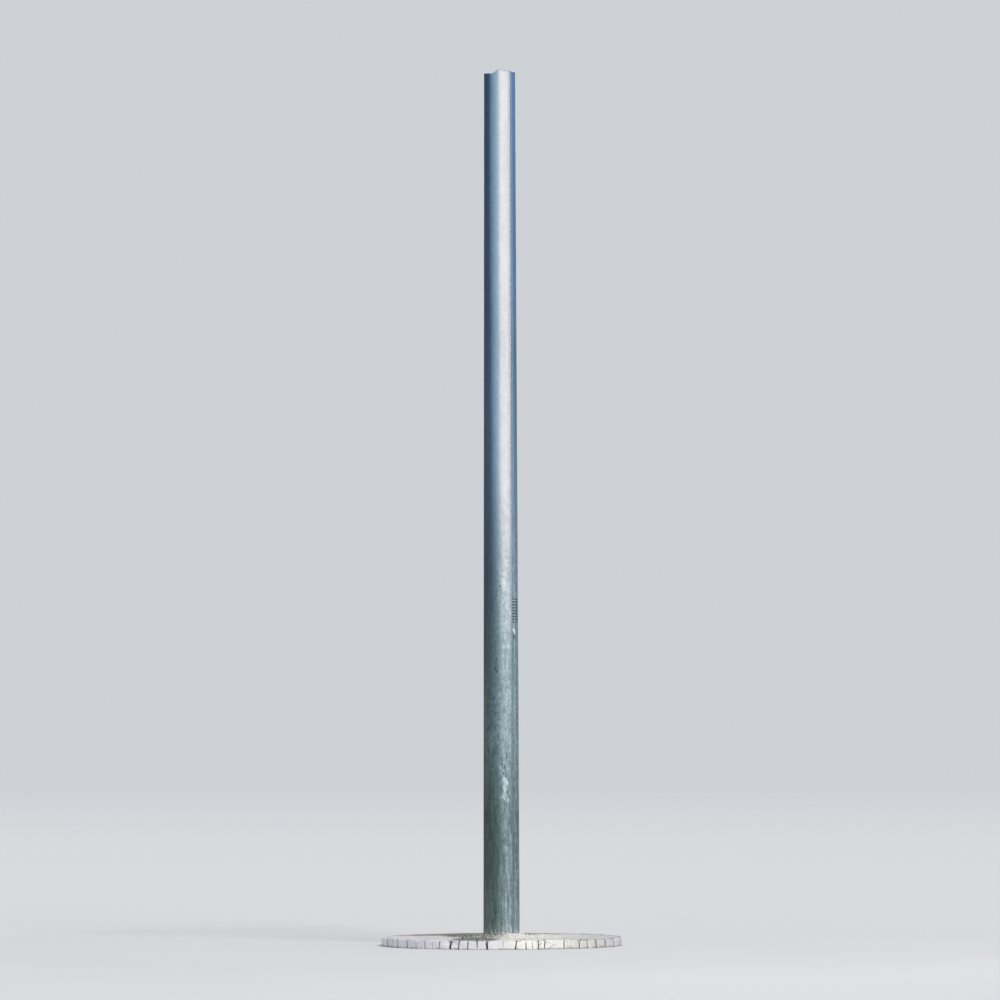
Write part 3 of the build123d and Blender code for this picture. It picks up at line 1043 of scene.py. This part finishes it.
def crack_course(crack, radius):
    """A crack's half width, sideways drift and what is left of its depth, at a radius."""
    inwards = (SLAB_RADIUS - radius) / crack.length
    if inwards >= 1.0:
        return 0.0, 0.0, 0.0
    inwards = max(inwards, 0.0)
    aside = crack.drift * min(inwards / CRACK_WAIST, (1.0 - inwards) / (1.0 - CRACK_WAIST))
    return crack.width / 2 * (1.0 - 0.8 * inwards), aside, 1.0 - inwards**3


def crack_swing(crack, z):
    """How far aside a crack leans and bends at a height on the footing's side."""
    reach = WIDE_SWING if crack.width > WIDE_CRACK else FINE_SWING
    down = 1.0 - z / SLAB_TOP
    bend = reach * smooth(0.0, 0.2, down) * wobble((crack.bearing, z, 0.0), 48.0, 7.0)
    return crack.lean * down + bend


def slab_columns():
    """The slab's columns as (bearing, crack, step across it), sorted by bearing. A column on a
    crack follows it, and the others, which have no crack, keep clear of the cracks."""
    columns = [(crack.bearing, crack, step) for crack in CRACKS for step in CRACK_PROFILE]
    for bearing in np.arange(-180.0, 180.0, SLAB_COLUMN_STEP):
        nearest = min(CRACKS, key=lambda crack: abs(turn_between(bearing, crack.bearing)))
        clear = math.degrees(nearest.width / SLAB_RADIUS) + 0.45
        if abs(turn_between(bearing, nearest.bearing)) > clear:
            columns.append((float(bearing), None, (0.0, 0.0, 0.0)))
    return sorted(columns, key=lambda column: column[0] + column[2][0] * 0.2)


def block_moves():
    """How far each block between two edge cracks has moved: outwards and upwards."""
    draw = random.Random(100)
    return [(draw.uniform(*BLOCK_OUT), draw.uniform(*BLOCK_UP)) for _ in EDGE_CRACKS]


BLOCK_MOVES = block_moves()
WINDING_CRACKS = CRACKS[: len(EDGE_CRACKS)]
CRACKS_BY_BEARING = sorted(crack.bearing for crack in WINDING_CRACKS)


def slab_point(column, radius, z, on_top):
    """A point of the slab's weathered surface and its share of dirt and painted shade inside a crack."""
    bearing, crack, (place, deep, dark) = column
    pull = 0.0
    for winding in WINDING_CRACKS:
        away = abs(turn_between(bearing, winding.bearing))
        if away < CRACK_PULL and crack is not winding:
            aside = crack_course(winding, radius)[1] + crack_swing(winding, z)
            pull += aside * (1.0 - away / CRACK_PULL)
    sunk = shade = 0.0
    if crack is not None:
        half, aside, left = crack_course(crack, radius)
        # A crack narrows towards the ground or towards the top edge
        height = z / SLAB_TOP
        open_share = 1.0 - abs(crack.taper) * (1.0 - height if crack.taper > 0.0 else height)
        pull += aside + place * half * (0.35 + 0.65 * open_share) + crack_swing(crack, z)
        sunk = crack.depth * left * deep * open_share
        shade = dark * crack.darkness * smooth(0.0, 0.25, left) * smooth(0.0, 0.5, open_share)
    b = bearing + math.degrees(pull / radius)
    block = sum(1 for edge in CRACKS_BY_BEARING if edge <= bearing) % len(BLOCK_MOVES)
    loose = smooth(SLAB_RADIUS - 0.16, SLAB_RADIUS - 0.02, radius)
    out, up = (move * loose for move in BLOCK_MOVES[block])
    here = at_bearing(radius, b, z)
    worn = smooth(SLAB_RADIUS - 0.05, SLAB_RADIUS, radius)
    chip = 0.0
    for fine, seed, rare, deepest in CHIPS:
        chip += max(0.0, wobble(here, fine, seed) - rare) * deepest
    rough = 0.0013 * wobble(here, 7.0, 1.0) + 0.0008 * wobble(here, 45.0, 2.0)
    if on_top:
        lower = chip * worn + SLAB_WEAR + rough - up
        return at_bearing(radius + out * worn, b, z - lower - sunk), shade
    inner = chip * smooth(0.0, SLAB_TOP, z) + SLAB_WEAR + abs(rough) - out
    return at_bearing(radius - inner - sunk, b, z + up * z / SLAB_TOP), shade


def build_slab(material):
    """The cast footing as one closed skin, with open cracks, chips and blocks that have shifted."""
    columns = slab_columns()
    socket = COLLAR_RADIUS - SOCKET_LAP
    rows = [(radius, SLAB_TOP, True) for radius in (
        *np.linspace(socket, SLAB_RADIUS - 0.34, 8),
        *np.linspace(SLAB_RADIUS - 0.33, SLAB_RADIUS - 0.06, 26),
        *np.linspace(SLAB_RADIUS - 0.052, SLAB_RADIUS - SLAB_ARRIS, 8),
    )]
    for angle in (22.5, 45.0, 67.5, 90.0):
        turn = math.radians(angle)
        radius = SLAB_RADIUS - SLAB_ARRIS * (1.0 - math.sin(turn))
        rows.append((radius, SLAB_TOP - SLAB_ARRIS * (1.0 - math.cos(turn)), False))
    rows += [(SLAB_RADIUS, z, False) for z in np.linspace(SLAB_TOP - SLAB_ARRIS - 0.004, 0.0, 10)]
    made = [slab_point(column, *row) for row in rows for column in columns]
    points = [point for point, shade in made]
    shades = [shade for point, shade in made]
    for x, y, _ in points[-len(columns):]:
        inwards = socket / math.hypot(x, y)
        points.append((x * inwards, y * inwards, 0.0))
    faces = grid_faces(len(rows) + 1, len(columns), close_rows=True)
    slab = add_piece("slab_skin", points, flipped(faces), material)
    add_shares(slab, "crack", shades)
    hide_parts("footing_slab")


def collar_height(bearing, share):
    """The mortar's height over the slab at a share of the way from the tube to its edge."""
    here = at_bearing(0.1 + 0.1 * share, bearing, 0.0)
    heap = math.exp(-((turn_between(bearing, HEAP_BEARING) / HEAP_SPREAD) ** 2))
    uneven = 1.0 + 0.6 * wobble(here, 14.0, 12.0)
    at_tube = MORTAR_LOW + MORTAR_HEAP * heap * uneven
    rise = at_tube * (1.0 - share) ** 1.7 + 0.0035 * (1.0 - share**4)
    lumps = 0.0022 * wobble(here, 30.0, 4.0) + 0.0015 * wobble(here, 80.0, 6.0)
    return max(0.0008, rise + lumps * smooth(0.0, 0.15, 1.0 - share))


def collar_edge(bearing):
    around = at_bearing(1.0, bearing, 0.0)
    return COLLAR_RADIUS + 0.012 * wobble(around, 3.1, 2.0) + 0.006 * wobble(around, 11.0, 5.0)


def build_collar(material):
    """The mortar haunch round the tube, lumpy and ragged at its edge, down into the socket."""
    bearings = np.linspace(-180.0, 180.0, MORTAR_COLUMNS, endpoint=False)
    tube = tube_radius(SLAB_TOP) - MORTAR_INSET
    socket = COLLAR_RADIUS - SOCKET_LAP - MORTAR_INSET
    points = [at_bearing(tube, b, 0.0) for b in bearings]
    for share in (0.0, 0.02, 0.07, 0.13, 0.2, 0.28, 0.37, 0.47, 0.57, 0.67, 0.76, 0.84, 0.91, 0.96):
        for b in bearings:
            radius = tube + (collar_edge(b) - tube) * share
            points.append(at_bearing(radius, b, SLAB_TOP + collar_height(b, share)))
    points += [at_bearing(collar_edge(b), b, SLAB_TOP - 0.003) for b in bearings]
    points += [at_bearing(socket, b, SLAB_TOP - 0.006) for b in bearings]
    points += [at_bearing(socket, b, 0.0) for b in bearings]
    faces = grid_faces(len(points) // MORTAR_COLUMNS, MORTAR_COLUMNS, close_rows=True)
    collar = add_piece("mortar_haunch", points, flipped(faces), material)
    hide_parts("mortar_collar")


def build_crumbs(material):
    """Crumbs of mortar that lie on the haunch and on the slab round the foot."""
    draw = random.Random(29)
    lump = unit_lump(2)
    points, faces = [], []
    tube = tube_radius(SLAB_TOP)
    for seed in range(CRUMBS):
        size = 0.0018 + 0.0068 * draw.random() ** 2.2
        away = tube + size + 0.17 * draw.random() ** 1.5
        bearing = draw.uniform(-180.0, 180.0)
        share = (away - tube) / (COLLAR_RADIUS - tube)
        floor = SLAB_TOP + (collar_height(bearing, share) if share < 0.93 else -0.0015)
        middle = Vector(at_bearing(away, bearing, floor + size * 0.35))
        turn = Matrix.Rotation(draw.uniform(0.0, 6.28), 3, "Z")
        turn = turn @ Matrix.Rotation(draw.uniform(0.0, 3.14), 3, "X")
        half_sizes = [size * draw.uniform(*ends) for ends in ((0.7, 1.3), (0.7, 1.1), (0.5, 0.9))]
        add_lump(points, faces, lump, middle, turn, half_sizes, seed)
    add_piece("mortar_crumbs", points, faces, material)


# The stage


def build_floor():
    """A plain pale floor that fades into the background far from the object."""
    m = Material("pale_floor")
    fade = m.ranged(m.radius(), 14.0, 70.0)
    shader = m.node("BsdfPrincipled", {"Base Color": rgba(FLOOR_COLOUR), "Roughness": 0.9})
    clear = m.node("BsdfTransparent", {})
    m.show(m.node("MixShader", {0: fade, 1: shader.outputs[0], 2: clear.outputs[0]}))
    bpy.ops.mesh.primitive_circle_add(
        vertices=96, radius=80.0, fill_type="NGON", location=(0.0, 0.0, -0.0005)
    )
    floor = bpy.context.object
    floor.name = "floor"
    floor.data.materials.append(m.material)


def build_world():
    world = bpy.data.worlds.new("studio")
    bpy.context.scene.world = world
    world.use_nodes = True
    background = world.node_tree.nodes["Background"]
    background.inputs["Color"].default_value = rgba(WORLD_COLOUR)
    background.inputs["Strength"].default_value = WORLD_STRENGTH


def panel_shade(m):
    """The panel's colours: dark at the left, a rise to the bright front, and a paler right."""
    z = m.split()[2]
    turn = m.bearing()
    # The edge's bearing is below zero, and a ramp holds only numbers above it
    edge = m.times(m.ramp(z, [(height, -side / 180.0) for height, side in DARK_EDGES]), -180.0)
    share = m.math("DIVIDE", m.less(turn, edge), m.less(BRIGHT_START, edge))
    rise = m.ramp(share, LEFT_STOPS)
    tinted = m.mix(1.0, rise, m.ramp(z, RISE_TINTS), "MULTIPLY")
    rise = m.mix(m.ranged(share, 0.95, 0.8), rise, tinted)
    left = m.mix(m.ranged(share, -0.04, 0.08), m.ramp(z, DARK_TONES), rise)
    right = m.mix(m.ramp(turn, RIGHT_BLEND), RIGHT_FRONT, m.ramp(z, LIMB_TONES))
    return m.mix(m.ranged(turn, *BRIGHT_END), left, right)


def build_panel():
    """A curved panel of soft light round the object that only reflections see."""
    m = Material("panel_glow")
    m.show(m.node("Emission", {"Color": panel_shade(m), "Strength": 1.0}))
    turns = np.linspace(*PANEL_SIDES, 90)
    points = [at_bearing(PANEL_DISTANCE, b, z) for z in (0.0, PANEL_HEIGHT) for b in turns]
    mesh = bpy.data.meshes.new("panel")
    mesh.from_pydata(points, [], grid_faces(2, len(turns), close_columns=False))
    mesh.materials.append(m.material)
    panel = placed("panel", mesh)
    panel.visible_camera = False
    panel.visible_diffuse = False
    panel.visible_shadow = False


def add_sun():
    """A broad, soft sun lamp for the dull surfaces and for the object's shadow on the floor."""
    data = bpy.data.lights.new("sun", "SUN")
    data.energy = SUN_STRENGTH
    data.angle = math.radians(SUN_ANGLE)
    data.color = SUN_COLOUR
    lamp = placed("sun", data)
    rise = math.tan(math.radians(SUN_ELEVATION))
    lamp.location = at_bearing(6.0, SUN_BEARING, 6.0 * rise)
    lamp.rotation_euler = (-lamp.location).to_track_quat("-Z", "Y").to_euler()
    lamp.visible_glossy = False


def build_camera():
    """The photo's camera: far away, with a long lens, at the height of a standing eye."""
    distance = FOCAL_PIXELS / PIXELS_PER_METRE
    eye = SLAB_TOP + (FOOT_ROW - HORIZON_ROW) / PIXELS_PER_METRE
    pitch = math.atan((HORIZON_ROW - IMAGE_SIZE / 2) / FOCAL_PIXELS)
    roll = math.atan((FOOT_COLUMN - TOP_COLUMN) / (FOOT_ROW - TOP_ROW))
    middle_share = (IMAGE_SIZE / 2 - TOP_ROW) / (FOOT_ROW - TOP_ROW)
    column = TOP_COLUMN + (FOOT_COLUMN - TOP_COLUMN) * middle_share
    yaw = math.atan((column - IMAGE_SIZE / 2) / FOCAL_PIXELS)
    data = bpy.data.cameras.new("camera")
    data.sensor_width = SENSOR_MILLIMETRES
    data.lens = FOCAL_PIXELS / IMAGE_SIZE * data.sensor_width
    data.clip_end = 500.0
    camera = placed("camera", data)
    turn = Matrix.Rotation(yaw, 3, "Z") @ Matrix.Rotation(math.pi / 2 + pitch, 3, "X")
    turn = turn @ Matrix.Rotation(-roll, 3, "Z")
    camera.location = (0.0, -distance, eye)
    camera.rotation_euler = turn.to_euler()
    bpy.context.scene.camera = camera


def main():
    weld = weld_zinc()
    mortar = pale_mortar()
    build_tube(galvanized_steel())
    build_seam(weld)
    build_patch(weld)
    build_zinc_drop(zinc_and_painted_highlight())
    build_splashes(mortar)
    build_slab(pale_concrete())
    build_collar(mortar)
    build_crumbs(mortar)
    build_floor()
    build_world()
    build_panel()
    add_sun()
    bpy.context.scene.view_settings.view_transform = "Standard"
    build_camera()


main()
